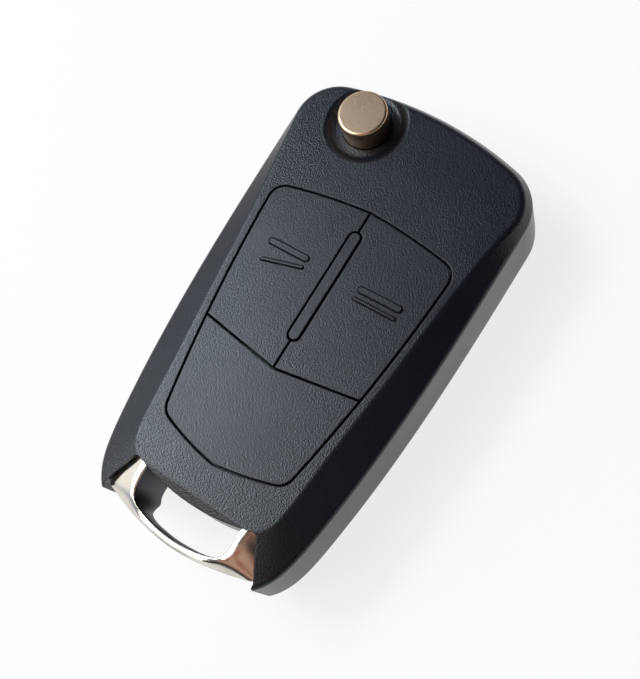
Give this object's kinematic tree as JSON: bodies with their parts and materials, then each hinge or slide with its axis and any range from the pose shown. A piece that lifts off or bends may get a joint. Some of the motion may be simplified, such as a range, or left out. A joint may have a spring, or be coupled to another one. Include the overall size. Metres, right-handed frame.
{
  "type": "key fob shell",
  "caption": "Folding car key fob case with two buttons, a chrome release button, a swing-out blade and a key ring loop.",
  "frame": {"origin": "middle of the outline, on the surface that the back lies on", "axes": "+X to the right of the button face, +Y towards the head with the blade pivot, +Z out of the button face"},
  "size_m": [0.0399, 0.0716, 0.0176],
  "materials": {
    "case": "fine grain",
    "buttons": "fine grain",
    "mat": "matt",
    "board": "lacquered",
    "switch": "stamped",
    "chip": "moulded",
    "contact": "stamped",
    "cell": "satin",
    "chrome": "polished",
    "satin_chrome": "satin",
    "steel": "ground",
    "brass": "turned"
  },
  "bodies": {
    "case": {"front_shell": "case", "rear_shell": "case", "panel_insert": "buttons", "button_mat": "mat", "circuit_board": "board", "left_switch": "switch", "right_switch": "switch", "control_chip": "chip", "transponder": "chip", "battery_clip": "contact", "side_contact": "contact", "coin_cell": "cell", "key_ring_loop": "chrome", "case_screws": "steel", "spring_seat": "brass", "flip_spring": "steel"},
    "blade": {"blade": "steel", "blade_head": "steel", "blade_pin": "steel"},
    "release_button": {"release_button": "satin_chrome"},
    "left_button": {"left_button": "buttons"},
    "right_button": {"right_button": "buttons"},
    "battery_cover": {"battery_cover": "case"}
  },
  "joints": [
    {"name": "blade_flip", "type": "hinge", "parent": "case", "child": "blade", "pos_m": [-0.008, 0.0293, 0.00765], "axis": [0, 0, -1], "range_deg": [0, 180]},
    {"name": "release_press", "type": "slide", "parent": "blade", "child": "release_button", "axis": [0, 0, -1], "range_m": [0, 0.0024], "stiffness_N_per_m": 500, "springref_m": -0.002, "deforming": ["flip_spring"]},
    {"name": "left_press", "type": "slide", "parent": "case", "child": "left_button", "axis": [0, 0, -1], "range_m": [0, 0.0005], "stiffness_N_per_m": 300, "springref_m": -0.001},
    {"name": "right_press", "type": "slide", "parent": "case", "child": "right_button", "axis": [0, 0, -1], "range_m": [0, 0.0005], "stiffness_N_per_m": 300, "springref_m": -0.001},
    {"name": "battery_cover_off", "type": "slide", "parent": "case", "child": "battery_cover", "axis": [0, 0, -1], "range_m": [0, 0.02]}
  ]
}
